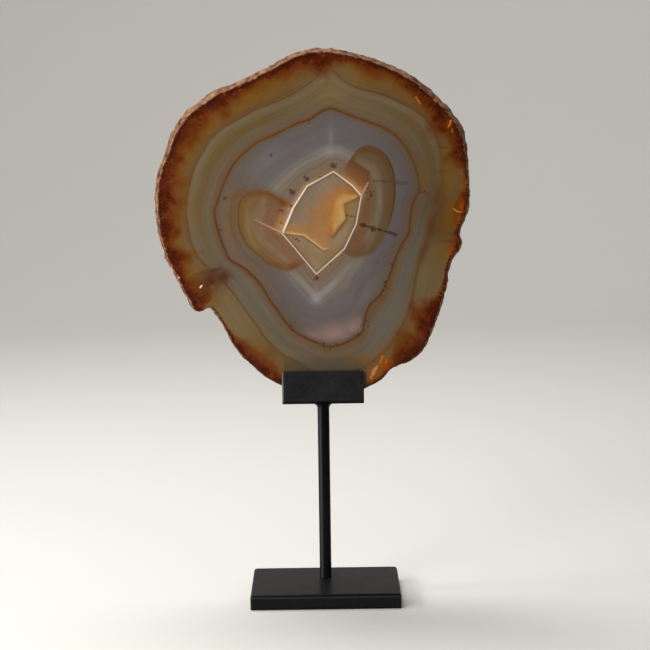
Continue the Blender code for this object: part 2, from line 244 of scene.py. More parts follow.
# Soft patches: X, Z, half the width, half the height, turn in degrees, strength
PATCHES = {
    "haze": (
        (6.8, 300, 5, 3.4, 0, 0.55), (7, 300, 12, 3.2, 0, 0.35), (7.6, 308, 2, 9, 0, 0.28),
        (-3.6, 202.6, 3.4, 3.6, 0, 0.8), (-3.6, 206.4, 1.6, 5, 0, 0.3), (38, 268, 2.2, 14, 4, 0.2),
        (41, 252, 2.4, 8, 20, 0.2), (-38, 296, 14, 5, 38, 0.12), (30, 205, 4, 14, -35, 0.16),
        (5.6, 210, 1.8, 9, -42, 0.45), (16, 221, 1.8, 8, -42, 0.35),
    ),
    "pink": (
        (8, 178, 13, 7, 10, 0.8), (-5, 175.6, 8, 5, -16, 0.75), (21, 181, 6, 7, 0, 0.8),
        (15, 175.6, 10, 4.6, 12, 0.8), (1, 172.6, 9, 4, 0, 0.7), (24, 186, 4, 4, 0, 0.5),
    ),
    "mauve": (
        (8, 312, 26, 10, 0, 0.75), (-28, 300, 18, 11, 38, 0.7), (-8, 192, 8, 5, -50, 0.3),
    ),
    "tan": (
        (-62, 250, 6.5, 20, -4, 0.95), (-57.5, 236, 6, 8, 35, 0.7), (-61, 267, 5.5, 9, -20, 0.8),
        (-48, 223.4, 11, 4.4, -38, 0.75), (56, 250, 4, 14, -12, 0.35), (-38, 214, 9, 4, -42, 0.45),
        (-56, 277, 5, 9, -34, 0.4), (24, 232, 6, 4, -30, 0.3), (45, 219, 2.4, 9, -28, 0.45),
        (51, 236, 2, 7, -24, 0.3),
    ),
    "yellow": (
        (8, 339, 15, 12, 0, 0.85), (26, 332, 12, 5, -18, 0.4), (-10, 334, 12, 5, 20, 0.4),
    ),
    "corner_glow": (
        (-27.2, 250.6, 3, 3.6, 0, 0.9), (-26, 256, 2.4, 5, -22, 0.6), (-22, 262, 2.2, 4, -28, 0.5),
        (27.5, 274.5, 3, 2.4, -30, 0.4),
    ),
    # Bright orange in the rim and its chips: partly the stone's own orange, partly a painted glow
    # of light coming through them
    "orange_and_painted_glow": (
        (94, 262, 2.6, 6, 0, 0.85), (93, 252, 2.3, 7, 10, 0.85), (92.4, 241.6, 2.6, 3.4, 0, 0.8),
        (87.6, 229.4, 2.4, 4, -10, 0.7), (86.6, 231, 2.6, 6, -18, 0.85),
        (86, 221, 1.9, 7, -26, 0.9), (82.6, 212, 1.6, 7, -14, 0.7), (79.6, 203, 1.4, 6, -14, 0.5),
        (95.4, 280, 1.8, 9, 0, 0.5), (86, 318, 2.6, 3, 0, 0.6), (84, 325, 2, 2.4, 0, 0.5),
        (42, 157.4, 4.6, 4.4, 30, 0.95), (35.6, 152, 3.4, 4, 30, 0.8), (46, 161, 3.4, 2.4, 20, 0.6),
        (39, 162, 2, 3.4, 0, 0.7), (-105, 241, 1.6, 4.6, 12, 0.6), (-99.5, 224, 1.6, 6, 26, 0.45),
        (26, 160, 6, 2.6, 8, 0.28),
    ),
    "golden": (
        (85.4, 282, 6, 15, 0, 0.75), (69, 284, 3, 9, -6, 0.45), (85, 256, 4.5, 12, -6, 0.6),
        (81, 232, 4.5, 10, -18, 0.7), (76, 220, 4, 9, -16, 0.4), (-84, 262, 5, 10, 8, 0.4),
        (-72, 316, 9, 4, 34, 0.4), (-44, 336, 12, 4, 24, 0.35), (30, 348, 12, 4, -18, 0.4),
        (70, 330, 5, 6, 40, 0.35), (60, 184, 5, 6, -40, 0.4), (24, 161, 11, 3.4, 6, 0.5),
        (-71, 201, 4, 5, 0, 0.5), (-91.6, 304, 3.2, 6, -24, 0.7), (-78, 321, 6, 4, 40, 0.5),
        (-99, 262, 3, 6, 0, 0.3), (62, 322, 6, 3, -46, 0.4), (47, 168, 6, 3.4, 30, 0.4),
        (-88, 222, 4, 8, 20, 0.35),
    ),
    "lobe_rust": (
        (-39, 272.4, 6, 2.6, 0, 0.75), (-33, 271.4, 6, 3, -28, 0.6),
        (-25.5, 266.6, 6, 3, -36, 0.95), (-21, 264.4, 3, 3, -40, 0.7),
        (-29, 224.6, 8, 2.6, -18, 0.5), (-19, 224.4, 6, 2.6, 25, 0.7),
        (-26.5, 261.2, 2.4, 1.6, 0, 0.7), (-30.5, 244, 3.4, 2, -10, 0.4),
        (21, 242, 5, 3.6, -30, 0.4),
    ),
    "lobe_rose": (
        (-15, 229.6, 7, 5, 0, 0.75), (-22, 226.6, 5, 4, 0, 0.5), (-30, 262, 5, 5, -20, 0.35),
        (-27, 238, 8, 4.6, -46, 0.4), (-22, 231, 5, 4, -40, 0.45), (22, 240, 4, 5, 0, 0.5),
        (28, 294, 8, 1.8, -38, 0.45), (36, 287, 2.2, 6, 24, 0.45),
    ),
    "lobe_pale": (
        (-37.8, 267, 1.2, 8, -6, 0.5), (-40.6, 257, 1.1, 7, 6, 0.45),
        (-39.4, 246.4, 1.2, 5, 12, 0.5), (-34.4, 238.4, 1.1, 7, 46, 0.6),
        (-26, 230.4, 1.1, 6, 48, 0.5), (-47.6, 252, 1.3, 8, 0, 0.4), (-32, 243, 0.9, 6, 40, 0.35),
        (-45.4, 240, 0.9, 6, 34, 0.3), (39.4, 268, 1.3, 11, 2, 0.45),
        (37.4, 253, 1.3, 7, -12, 0.35), (33.4, 241, 1.4, 6, -28, 0.3), (37, 281, 1.2, 5, 22, 0.3),
        (33, 250, 0.8, 7, -8, 0.25),
    ),
    "lobe_brown": (
        (30, 262, 2.6, 12, -4, 0.6), (31.6, 275, 2, 6, -8, 0.5), (-34.6, 262, 1.0, 8, -4, 0.35),
        (-37, 242.4, 0.9, 7, 30, 0.45), (-31, 233.6, 0.9, 7, 48, 0.45),
        (34.8, 262, 1.2, 10, 0, 0.3), (43, 272, 1.6, 14, 4, 0.45), (-51.4, 258, 1.0, 9, -8, 0.4),
        (-43.8, 254, 0.8, 9, 2, 0.35), (24, 240, 6, 5, -20, 0.4), (-34, 266, 6, 4, -16, 0.55),
        (-44.3, 265, 5, 5, 0, 0.5), (-53.6, 272, 10, 2.2, 17, 0.85), (-57, 262, 2.2, 12, -8, 0.4),
        (-37, 233, 6, 3, -46, 0.4),
    ),
    "smear": (
        (78, 269, 3.6, 12, -22, 0.85), (73.4, 250, 3.6, 12, -5, 0.9), (69, 233, 3, 10, -24, 0.8),
        (81, 252, 6, 14, -8, 0.5), (89, 243, 3, 5, -14, 0.4), (58, 205, 1.6, 14, -12, 0.25),
        (83.5, 286, 8, 1.3, 4, 0.7), (82, 283, 1.6, 7, 0, 0.45), (84, 239.2, 9, 1.0, 2, 0.75),
        (-76.5, 231, 3, 5, 20, 0.25), (61, 192, 2, 10, -15, 0.3),
    ),
    # Painted shade: the right side of the face darker, where less light falls, and a faint darker
    # strip along its foot
    "painted_shade_and_deep_glow": (
        (90, 262, 34, 46, 0, 0.26), (0, 158, 60, 16, 0, 0.04),
    ),
    "smudge": (
        (-74, 214.6, 7, 8.5, -12, 1.0), (-66, 217.6, 7, 6, 0, 0.95), (-71, 222, 7, 3, 12, 0.8),
        (-77, 207.5, 5, 4.5, 0, 0.7), (-60, 216, 5, 7, -30, 0.35),
    ),
    "gold": (
        (20, 263, 4, 4.5, -30, 0.75), (9, 237, 2.4, 5, -35, 0.3), (-6, 244, 6, 3, -22, 0.5),
        (-17, 250, 7, 3.4, 0, 0.55), (2.4, 240, 4, 5, 20, 0.5), (1, 251, 5, 6, 0, 0.4),
    ),
    "warmth": (
        (1, 255, 9, 13, -6, 1.0), (-6, 248, 10, 7, -15, 0.9), (-6, 259, 7, 9, -20, 0.7),
        (14, 273, 7, 3, -30, 0.3),
    ),
}

# The lobes: side, outline, centre, edge
LOBES = (
    ("left", LEFT_LOBE, (-14.0, 247.0), LEFT_EDGE),
    ("right", RIGHT_LOBE, (14.0, 262.0), RIGHT_EDGE),
)

# Distances in millimetres that stand for anywhere further off
FAR_FROM_LINE = 9.0
FAR_FROM_CORE = 60.0

# Small marks: X, Z, size
DARK_SPECKS = (
    (8.7, 290.4, 2.5), (10.8, 291.6, 0.9), (-8.6, 281.8, 2.1), (-10.2, 283.4, 1.2),
    (-18.5, 273.3, 2.7), (-20, 274.8, 1.1), (0, 283.2, 0.9), (-32.2, 298.1, 1.3),
    (-3.2, 216, 2), (-5, 214.8, 0.8), (-63.6, 269.6, 1.3), (-62.6, 270.8, 0.7),
)
CORE_SPECKS = (
    (28.3, 250.8, 1.9), (34.4, 247.4, 1.6),
    (-25.5, 261.3, 1), (-27, 261.6, 0.7), (-26.3, 253, 0.8), (-19.6, 264.3, 1.3),
    (-16.4, 242.2, 1.3), (-14.8, 241, 1.1), (-18.4, 243.4, 0.6), (6.2, 225.3, 1),
    (13.8, 230.8, 0.9), (20.2, 257, 1.1), (22, 256.6, 0.8), (17.8, 257.6, 0.8),
    (33.6, 270.6, 1.4), (33.3, 272.8, 1.2), (35.6, 273.4, 0.7), (31.7, 275.2, 0.8),
    (30.4, 272.2, 0.7), (31.6, 267.6, 0.7), (32.6, 268.8, 0.6), (37.6, 225.4, 0.6),
)
LINE_SPECKS = (
    (69, 272.4, 1.3), (67.2, 272.2, 0.8), (70.8, 271.2, 0.9), (-67.8, 249, 1.3),
    (-65.8, 248.8, 0.9), (-67.4, 246.6, 0.9), (-7.4, 320.4, 0.9), (-6.8, 318.6, 0.8),
    (-10.2, 319.6, 0.8), (-20.6, 184.4, 1.2), (-20.2, 181.4, 1), (-18.6, 186.4, 0.7),
    (-22, 183, 0.6), (0.8, 172, 1.1), (1.0, 169.6, 1), (1.2, 167.8, 0.7), (5.0, 168.2, 1),
    (9.8, 171.2, 1.1), (-4.4, 172.8, 0.7), (47.1, 224.7, 1.2), (46.6, 222.4, 0.7),
    (42.7, 212.7, 1.6), (42.2, 210.2, 1.1), (43.8, 208.6, 0.9), (41.2, 206.4, 0.8),
    (40.3, 203.4, 1), (28, 184.9, 1.3), (29.6, 186.8, 0.9), (26.2, 183.6, 0.8),
    (23.9, 177.4, 1.5), (21.6, 177, 0.9), (25.8, 178.8, 0.9),
    (30.8, 183.2, 0.8), (27, 188.6, 0.6),
)

# Painted highlights and painted shade on the stand's parts, as lines: axis (0 is X, 2 is Z), place
# on it, half the width, strength and grey. The cradle has a painted highlight down its left end and
# along its top edge and painted shade along its bottom; the post a painted highlight down its left
# side and its right edge and painted shade at its top, under the cradle; the base a dark painted
# reflection and a painted highlight along its top edge and painted shade along its foot
CRADLE_PAINTED_LIGHT = ((0, -27.3, 1.4, 0.85, 112), (2, 153.4, 1.0, 0.6, 46), (2, 130.4, 4.6, 1.0, 0))
POST_PAINTED_LIGHT = ((0, -2.3, 1.5, 0.9, 58), (0, 3.9, 1.2, 0.6, 34), (2, 131.4, 4.2, 1.0, 2))
BASE_PAINTED_LIGHT = ((2, 9.4, 0.9, 1.0, 0), (2, 8.1, 0.9, 0.7, 52), (2, 0.0, 2.0, 0.8, 6))

# The milky fork under the core
FORK = (
    (-26, 226.6), (-20.9, 221.4), (-12.5, 213), (-3.6, 202.8), (7, 211.2), (19.1, 222.7),
    (26, 231),
)

# Where the clamp shades the stone: left, right and top
CLAMP_SHADE = (-26.6, 31.0, 164.6)

# Streaks: X and Z of both ends, half the width at each
# Orange strokes in the rim: partly orange in the stone, partly painted glints and glow on its chips
ORANGE_STREAKS_AND_GLINTS = (
    (32.6, 148.4, 34.6, 153, 1.0, 1.5), (34.6, 153, 36.6, 156.4, 1.5, 0.5),
    (38.4, 158, 40.2, 162.4, 0.35, 0.45), (42.4, 158.4, 42.8, 160.4, 0.3, 0.4),
    (64, 334.4, 66.6, 330.6, 0.5, 0.35), (84.2, 327.6, 85.6, 325.6, 0.4, 0.6),
    (86.8, 318.6, 86.2, 316.4, 0.8, 0.6), (86.2, 316.4, 84.8, 314.6, 0.6, 0.4),
    (79, 330.4, 80.4, 328.6, 0.4, 0.4), (87.6, 313.4, 87.8, 311.6, 0.3, 0.35),
    (75.4, 333, 77, 331.6, 0.35, 0.5), (-106.4, 244.4, -105.8, 242.8, 0.5, 0.7),
    (-105.4, 240, -104.8, 238, 0.7, 0.4),
)
# Painted highlights on chips in the rim
CHIP_HIGHLIGHTS = (
    (33.6, 150.4, 35.6, 154.4, 0.5, 0.9), (88.6, 260.8, 90.6, 259, 0.4, 0.6),
    (90.6, 259, 93, 258.6, 0.6, 0.3),
)
DASHES = (
    (26.8, 251.3, 28.6, 250.8, 1.3, 1.3), (29.6, 250.4, 30.4, 250.2, 0.8, 0.8),
    (31.8, 249.8, 32.2, 249.6, 0.8, 0.8), (33.4, 249.6, 33.8, 248.2, 1.2, 1.0),
    (35.4, 249, 36, 247.8, 1.2, 1.2), (38, 247.9, 40.4, 247.2, 0.9, 0.8),
    (42.6, 246.5, 43.2, 246.3, 0.9, 0.8), (45.4, 245.8, 47.2, 245.2, 1.2, 1.2),
    (48.6, 244.6, 50.6, 243.8, 1.1, 0.6),
)
FAINT_DASHES = (
    (27, 251.2, 51, 243.8, 0.25, 0.25), (36, 280, 38.4, 280, 0.9, 0.9),
    (40.2, 279.8, 44.4, 279.6, 0.9, 1.0), (51.4, 278.8, 57.4, 278.4, 1.5, 0.9),
    (46, 279.4, 49, 279.2, 0.6, 0.8),
)
SMUDGE_STREAKS = (
    (-85, 219.4, -77, 221.2, 0.5, 1.2), (-77, 221.2, -66, 223.6, 1.2, 0.4),
    (79, 239.8, 86, 239.2, 0.4, 0.7), (86, 239.2, 93, 239.6, 0.7, 0.5),
    (76, 302, 84, 301.4, 0.4, 0.9), (84, 301.4, 91, 300, 0.9, 0.6),
)
# Painted highlights in small pits near the left rim
PIT_HIGHLIGHTS = ((-80.9, 210.9, 0.8), (-80.4, 211.6, 0.7), (-79.8, 212.2, 0.45), (-95, 217.7, 0.6))


def srgb(red, green, blue):
    """A colour on a screen's scale of 0 to 255, as linear light with full alpha."""
    def linear(value):
        share = value / 255
        return share / 12.92 if share <= 0.04045 else ((share + 0.055) / 1.055) ** 2.4
    return (linear(red), linear(green), linear(blue), 1.0)


class Net:
    """Short calls that add nodes to a material's tree and join them.

    Colours are given as red, green and blue from 0 to 255.
    """

    def __init__(self, name):
        self.material = bpy.data.materials.new(name)
        self.material.use_nodes = True
        self.tree = self.material.node_tree
        self.shader = self.tree.nodes["Principled BSDF"]
        self.known = {}
        self.colour = None

    def put(self, socket, value):
        """Joins a socket to another, or sets its value."""
        if isinstance(value, bpy.types.NodeSocket):
            self.tree.links.new(value, socket)
        else:
            socket.default_value = srgb(*value) if socket.type == "RGBA" else value

    def node(self, kind, inputs=None, **settings):
        """A new node. Its inputs are named or counted, and one that is None is left as it is.

        An input given as a word takes the value of that name, which the mesh carries.
        """
        inputs = {
            key: self.field(value) if isinstance(value, str) else value
            for key, value in (inputs or {}).items()
        }
        made = self.tree.nodes.new(kind)
        for name, value in settings.items():
            setattr(made, name, value)
        for key, value in inputs.items():
            if value is not None:
                self.put(made.inputs[key], value)
        return made

    def math(self, operation, a, b=None, c=None, clamp=False):
        inputs = {0: a, 1: b, 2: c}
        return self.node("ShaderNodeMath", inputs, operation=operation, use_clamp=clamp).outputs[0]

    def vector(self, operation, a, b=None, scale=None):
        inputs = {0: a, 1: b, "Scale": scale}
        made = self.node("ShaderNodeVectorMath", inputs, operation=operation)
        return made.outputs["Value" if operation in ("DOT_PRODUCT", "LENGTH", "DISTANCE") else 0]

    def field(self, name):
        """A value that the mesh carries at its vertices."""
        if name not in self.known:
            self.known[name] = self.node("ShaderNodeAttribute", attribute_name=name).outputs["Fac"]
        return self.known[name]

    def place(self):
        return self.node("ShaderNodeTexCoord").outputs["Object"]

    def split(self, vector):
        return self.node("ShaderNodeSeparateXYZ", {0: vector}).outputs[:3]

    def combine(self, x=0.0, y=0.0, z=0.0):
        return self.node("ShaderNodeCombineXYZ", {0: x, 1: y, 2: z}).outputs[0]

    def noise(self, vector, scale, detail=2.0, roughness=0.5):
        inputs = {"Vector": vector, "Scale": scale, "Detail": detail, "Roughness": roughness}
        return self.node("ShaderNodeTexNoise", inputs).outputs["Fac"]

    def step(self, value, low, high):
        """0 below low and 1 above high, or the other way round, with a smooth change between."""
        inputs = {"From Min": low, "From Max": high, "Value": value}
        if low > high:
            inputs.update({"From Min": high, "From Max": low, "To Min": 1.0, "To Max": 0.0})
        made = self.node("ShaderNodeMapRange", inputs, interpolation_type="SMOOTHSTEP")
        return made.outputs["Result"]

    def ridge(self, value, middle, half):
        """1 at middle, falling to 0 at half the width on each side."""
        return self.step(self.math("ABSOLUTE", self.math("SUBTRACT", value, middle)), half, 0.0)

    def total(self, *values):
        return reduce(lambda a, b: self.math("ADD", a, b), values)

    def times(self, *values):
        return reduce(lambda a, b: self.math("MULTIPLY", a, b), values)

    def least(self, values):
        return reduce(lambda a, b: self.math("MINIMUM", a, b), values)

    def scaled(self, value, factor, more):
        return self.math("MULTIPLY_ADD", value, factor, more)

    def swing(self, value, reach, middle=0.0):
        """Noise, whose middle is a half, as a swing about another middle."""
        return self.scaled(value, reach, middle - reach / 2)

    def mix(self, share, a, b, blend="MIX"):
        inputs = {"Factor": share, 6: a, 7: b}
        return self.node("ShaderNodeMix", inputs, data_type="RGBA", blend_type=blend).outputs[2]

    def paint(self, under, tone, *shares):
        """Lays a tone over a colour, as strongly as all the shares multiplied."""
        return self.mix(self.times(*shares), under, tone)

    def coat(self, tone, *shares):
        """Paints a tone over the colour so far."""
        self.colour = self.paint(self.colour, tone, *shares)

    def ramp(self, value, stops):
        """A colour ramp. Each stop is a place and a colour."""
        made = self.node("ShaderNodeValToRGB", {0: value})
        elements = made.color_ramp.elements
        while len(elements) < len(stops):
            elements.new(0.5)
        for element, (place, colour) in zip(elements, stops):
            element.position = place
            element.color = srgb(*colour)
        return made.outputs[0]

    def surface(self, colour, roughness, gloss):
        """Sets what the whole surface is like, and gives the material."""
        inputs = self.shader.inputs
        self.put(inputs["Base Color"], colour)
        self.put(inputs["Roughness"], roughness)
        self.put(inputs["Specular IOR Level"], gloss)
        return self.material


def smooth_line(points, steps=12):
    """A closed smooth line through the points."""
    points = np.array(points, float)
    a, b, c, d = (np.roll(points, shift, axis=0)[:, None] for shift in (1, 0, -1, -2))
    t = (np.arange(steps) / steps)[None, :, None]
    curve = 0.5 * (2 * b + (c - a) * t + (2 * a - 5 * b + 4 * c - d) * t**2
                   + (3 * b - a - 3 * c + d) * t**3)
    return curve.reshape(-1, 2)


def reach(line, centre, turns):
    """How far a closed line around a centre lies from it, in each of these directions."""
    off = line - centre
    angles = np.arctan2(off[:, 1], off[:, 0]) % (2 * np.pi)
    order = np.argsort(angles)
    return np.interp(turns, angles[order], np.hypot(*off.T)[order], period=2 * np.pi)


def straight_line(points, steps=40):
    """A closed line of straight stretches, with points between its corners."""
    points = np.array(points, float)
    after = np.roll(points, -1, axis=0)
    t = (np.arange(steps) / steps)[None, :, None]
    return (points[:, None] + (after - points)[:, None] * t).reshape(-1, 2)


def face_outline(y):
    """The slice's outline at one of its two faces, read from the frame, in millimetres."""
    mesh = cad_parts["agate_slice"].data
    places = np.empty(len(mesh.vertices) * 3, np.float32)
    mesh.vertices.foreach_get("co", places)
    places = places.reshape(-1, 3).astype(float)
    on_face = np.abs(places[:, 1] - y) < 0.01 * MM
    return np.unique(np.round(places[on_face][:, (0, 2)] / MM, 4), axis=0)


def spread_turns(outline):
    """Directions of the spokes, closer together where the rim is longer."""
    fine = np.linspace(0, 2 * np.pi, 7201)
    radius = reach(outline, CENTRE, fine)
    points = np.stack((radius * np.cos(fine), radius * np.sin(fine)), 1)
    length = np.concatenate(([0], np.cumsum(np.hypot(*np.diff(points, axis=0).T))))
    share = 0.8 * length / length[-1] + 0.2 * fine / fine[-1]
    return np.interp(np.arange(SPOKES) / SPOKES, share, fine)


def ring_places(counts):
    """Places of the rings: 1 is the core's line, 2 the brown line, 3 the outer line, 4 the rim."""
    places = []
    for zone, count in enumerate(counts):
        steps = np.arange(1, count + 1) / count
        if zone == 3:
            steps = 1 - (1 - steps) ** 1.5
        places.extend(zone + steps)
    return np.array(places)


def side_distance(points, line):
    """Distance in millimetres from each point to a closed line, less than 0 inside it."""
    line = np.array(line, float)
    after = np.roll(line, -1, axis=0)
    best = np.full(len(points), 1e9)
    inside = np.zeros(len(points), bool)
    for a, b in zip(line, after):
        run = b - a
        off = points - a
        share = np.clip(off @ run / max(run @ run, 1e-12), 0, 1)
        best = np.minimum(best, np.hypot(*(off - share[:, None] * run).T))
        crosses = (a[1] > points[:, 1]) != (b[1] > points[:, 1])
        rise = run[1] if abs(run[1]) > 1e-12 else 1e-12
        inside ^= crosses & (points[:, 0] < a[0] + (points[:, 1] - a[1]) / rise * run[0])
    return np.where(inside, -best, best)


def lump(points, spacing, seed):
    """Soft noise between about -1 and 1 at points given in millimetres."""
    shift = Vector((seed * 7.3, seed * 3.1, seed * 5.7))
    return np.array([noise.noise(Vector(p) / spacing + shift) for p in points])


class Slice:
    """The slice's mesh: two faces made of rings that follow its bands, and a rough rim."""

    def __init__(self):
        front, back = face_outline(FRONT_Y), face_outline(BACK_Y)
        self.turns = spread_turns(front)
        self.out = np.stack((np.cos(self.turns), np.sin(self.turns)), 1)
        inner = [
            np.zeros(SPOKES),
            reach(straight_line(CORE_LINE), CENTRE, self.turns),
            reach(smooth_line(MAIN_LINE), CENTRE, self.turns),
            reach(smooth_line(OUTER_LINE), CENTRE, self.turns),
        ]
        self.front_knots = np.array(inner + [reach(front, CENTRE, self.turns)])
        self.back_knots = np.array(inner + [self.broken(reach(back, CENTRE, self.turns))])
        rim = np.column_stack((CENTRE + self.out * self.front_knots[4][:, None], np.zeros(SPOKES)))
        small, large = lump(rim, 3.0, 1), lump(rim, 9.0, 2)
        self.chips = 1.1 * np.clip(small - 0.05, 0, 1) + np.clip(large - 0.2, 0, 1)
        self.places = []
        self.rings = []
        self.spokes = []
        self.faces = []
        self.looks = []

    def broken(self, reaches):
        """The back's outline with small dents and humps, but for its foot in the clamp."""
        flat = CENTRE + self.out * reaches[:, None]
        along = np.column_stack((flat, np.zeros(SPOKES)))
        humps = 0.55 * lump(along, 8.0, 6) + 0.5 * lump(along, 3.0, 7)
        return reaches + humps * np.clip((flat[:, 1] - BROKEN_FROM) / 6, 0, 1)

    def radii(self, knots, ring):
        low = min(int(ring), 3)
        return knots[low] + (knots[low + 1] - knots[low]) * (ring - low)

    def add_row(self, flat, y, ring):
        start = len(self.places)
        for (x, z), depth in zip(flat, np.broadcast_to(y, SPOKES)):
            self.places.append((x, depth, z))
        self.rings.extend([ring] * SPOKES)
        self.spokes.extend(self.turns)
        return start

    def join(self, near, far, look, turned):
        for i in range(SPOKES):
            j = (i + 1) % SPOKES
            face = (near + i, near + j, far + j, far + i)
            self.faces.append(face[::-1] if turned else face)
            self.looks.append(look)

    def add_face(self, knots, counts, y, turned, drop):
        """One sawn face, from its middle to its rim. Returns the first vertex of its last ring."""
        middle = len(self.places)
        self.places.append((CENTRE[0], y / MM, CENTRE[1]))
        self.rings.append(0.0)
        self.spokes.append(0.0)
        start, least, chipped = drop
        depth = least + chipped * self.chips
        rows = []
        for ring in ring_places(counts):
            radii = self.radii(knots, ring)
            fall = np.clip(1 - (knots[4] - radii) / start, 0, 1) ** 1.5 * depth
            flat = CENTRE + self.out * radii[:, None]
            rows.append(self.add_row(flat, y / MM + (-fall if turned else fall), ring))
        for i in range(SPOKES):
            face = (middle, rows[0] + (i + 1) % SPOKES, rows[0] + i)
            self.faces.append(face[::-1] if turned else face)
            self.looks.append(INNER)
        for near, far in zip(rows, rows[1:]):
            look = INNER if self.rings[far] <= 2 else OUTER
            self.join(near, far, look, not turned)
        return rows[-1]

    def build(self):
        front = self.add_face(self.front_knots, FRONT_RINGS, FRONT_Y, False, FRONT_DROP)
        back = self.add_face(self.back_knots, BACK_RINGS, BACK_Y, True, BACK_DROP)
        self.borders = (front, back)
        front_row = np.array(self.places[front:front + SPOKES])
        back_row = np.array(self.places[back:back + SPOKES])
        last = front
        for step in range(1, RIM_STEPS):
            share = step / RIM_STEPS
            row = front_row + (back_row - front_row) * share
            swell = 0.7 * math.sin(math.pi * share)
            rough = 0.6 * lump(row, 4.5, 3) + 0.55 * lump(row, 2.1, 4)
            rough *= min(1.0, 4 * share, 6 * (1 - share))
            rough[row[:, 2] < FOOT_TOP] *= 0.3
            row[:, (0, 2)] += self.out * (swell + rough)[:, None]
            row[:, 2] = np.maximum(row[:, 2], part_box("agate_slice")[0].z / MM)
            new = self.add_row(row[:, (0, 2)], row[:, 1], 4.0)
            self.join(last, new, RIND, False)
            last = new
        self.join(last, back, RIND, False)


def profile(turns, table, column):
    """One column of a table of directions, read smoothly at the spokes."""
    table = np.array(table, float)
    fine = np.linspace(0, 360, 1441)
    values = np.interp(fine, table[:, 0], table[:, column], period=360)
    kernel = np.hanning(11) / np.hanning(11).sum()
    round_again = np.concatenate((values[-11:-1], values, values[1:11]))
    values = np.convolve(round_again, kernel, "same")[10:-10]
    return np.interp(np.degrees(turns) % 360, fine, values)


def line_distance(points, line):
    """Distance in millimetres from each point to an open line."""
    best = np.full(len(points), 1e9)
    for a, b in zip(np.array(line[:-1], float), np.array(line[1:], float)):
        run = b - a
        share = np.clip((points - a) @ run / (run @ run), 0, 1)
        best = np.minimum(best, np.hypot(*(points - a - share[:, None] * run).T))
    return best


def patches(points, spots):
    """Soft round patches: each point takes the strongest."""
    best = np.zeros(len(points))
    for x, z, wide, high, turn, strength in spots:
        c, s = math.cos(math.radians(turn)), math.sin(math.radians(turn))
        right, up = (points - (x, z)).T
        along = (right * c + up * s) / wide
        across = (up * c - right * s) / high
        best = np.maximum(best, strength * np.exp(-along**2 - across**2))
    return best


def lobe_fields(flat, outline, centre, edges):
    """How far a lobe's points are on the way to its outline and off it, and how its edge looks."""
    off = flat - centre
    turns = np.arctan2(off[:, 1], off[:, 0]) % (2 * np.pi)
    out = reach(smooth_line(outline), centre, turns)
    away = np.hypot(*off.T)
    return {
        "share": away / out, "mm": away - out,
        "line": profile(turns, edges, 1), "band": profile(turns, edges, 2),
    }


def clamp_shade(points):
    """1 just above the clamp, with a sharp left end and soft right and upper ends."""
    left, right, top = CLAMP_SHADE
    x, z = points.T
    across = np.clip((x - left) / 1.4, 0, 1) * np.clip((right - x) / 7, 0, 1)
    return across * np.clip((top - z) / 7, 0, 1)


def line_offset(flat, rings, line, ring):
    """Distance to the closed line that lies at this ring, less than 0 inside it."""
    offset = np.where(rings < ring, -FAR_FROM_LINE, FAR_FROM_LINE)
    near = np.abs(rings - ring) < 0.45
    closed = np.vstack((line, line[:1]))
    offset[near] = np.sign(rings[near] - ring) * line_distance(flat[near], closed)
    return offset


def slice_fields(flat, rings, turns):
    """What the slice's vertices carry for its material."""
    from_rim = 4.0 - rings
    fields = {
        "ring": rings,
        "dark": from_rim / profile(turns, STAINS, 1),
        "amber": from_rim / profile(turns, STAINS, 2),
        "line_width": profile(turns, WHITE_LINE, 1),
        "line_glow": profile(turns, WHITE_LINE, 2),
        "core_mm": line_offset(flat, rings, np.array(CORE_LINE, float), 1.0),
        "main_mm": line_offset(flat, rings, smooth_line(MAIN_LINE, 5), 2.0),
        "outer_mm": line_offset(flat, rings, smooth_line(OUTER_LINE, 5), 3.0),
        "edge_mm": -line_offset(flat, rings, face_ring(), 4.0),
        "spur_fade": np.clip(1.3 - line_distance(flat, CORE_LINE) / 20, 0, 1),
        "shade": clamp_shade(flat),
        "fork_mm": line_distance(flat, FORK),
    }
    for column, name in enumerate(("pale", "olive", "cool", "milk", "reddish"), 1):
        fields[name] = profile(turns, TINTS, column)
    for name, spots in PATCHES.items():
        fields[name] = patches(flat, spots)
    for name in ("pink", "mauve", "tan"):
        fields[name] *= np.clip((1.98 - rings) * 12, 0, 1)
    fields["yellow"] *= np.clip((rings - 2.02) * 12, 0, 1)
    for side, outline, centre, edges in LOBES:
        for part, values in lobe_fields(flat, outline, centre, edges).items():
            fields[side + "_" + part] = values
    middle = rings < 1.9
    for name, measure, line in (
        ("patch_mm", side_distance, RUSTY_FACET),
        ("brown_mm", side_distance, DULL_FACET),
        ("crystal_mm", side_distance, CRYSTALS),
        ("tall_mm", line_distance, TALL_SIDE),
        ("tall_in_mm", side_distance, TALL_CRYSTAL),
        ("ribbon_mm", line_distance, RIBBON_SIDE),
        ("spur_left_mm", line_distance, SPURS[0]),
        ("spur_right_mm", line_distance, SPURS[1]),
    ):
        fields[name] = np.full(len(flat), FAR_FROM_CORE)
        fields[name][middle] = measure(flat[middle], line)
    return fields


def face_ring():
    """The front face's outline in order round the rim."""
    outline = face_outline(FRONT_Y)
    turns = np.arctan2(outline[:, 1] - CENTRE[1], outline[:, 0] - CENTRE[0])
    return outline[np.argsort(turns)]


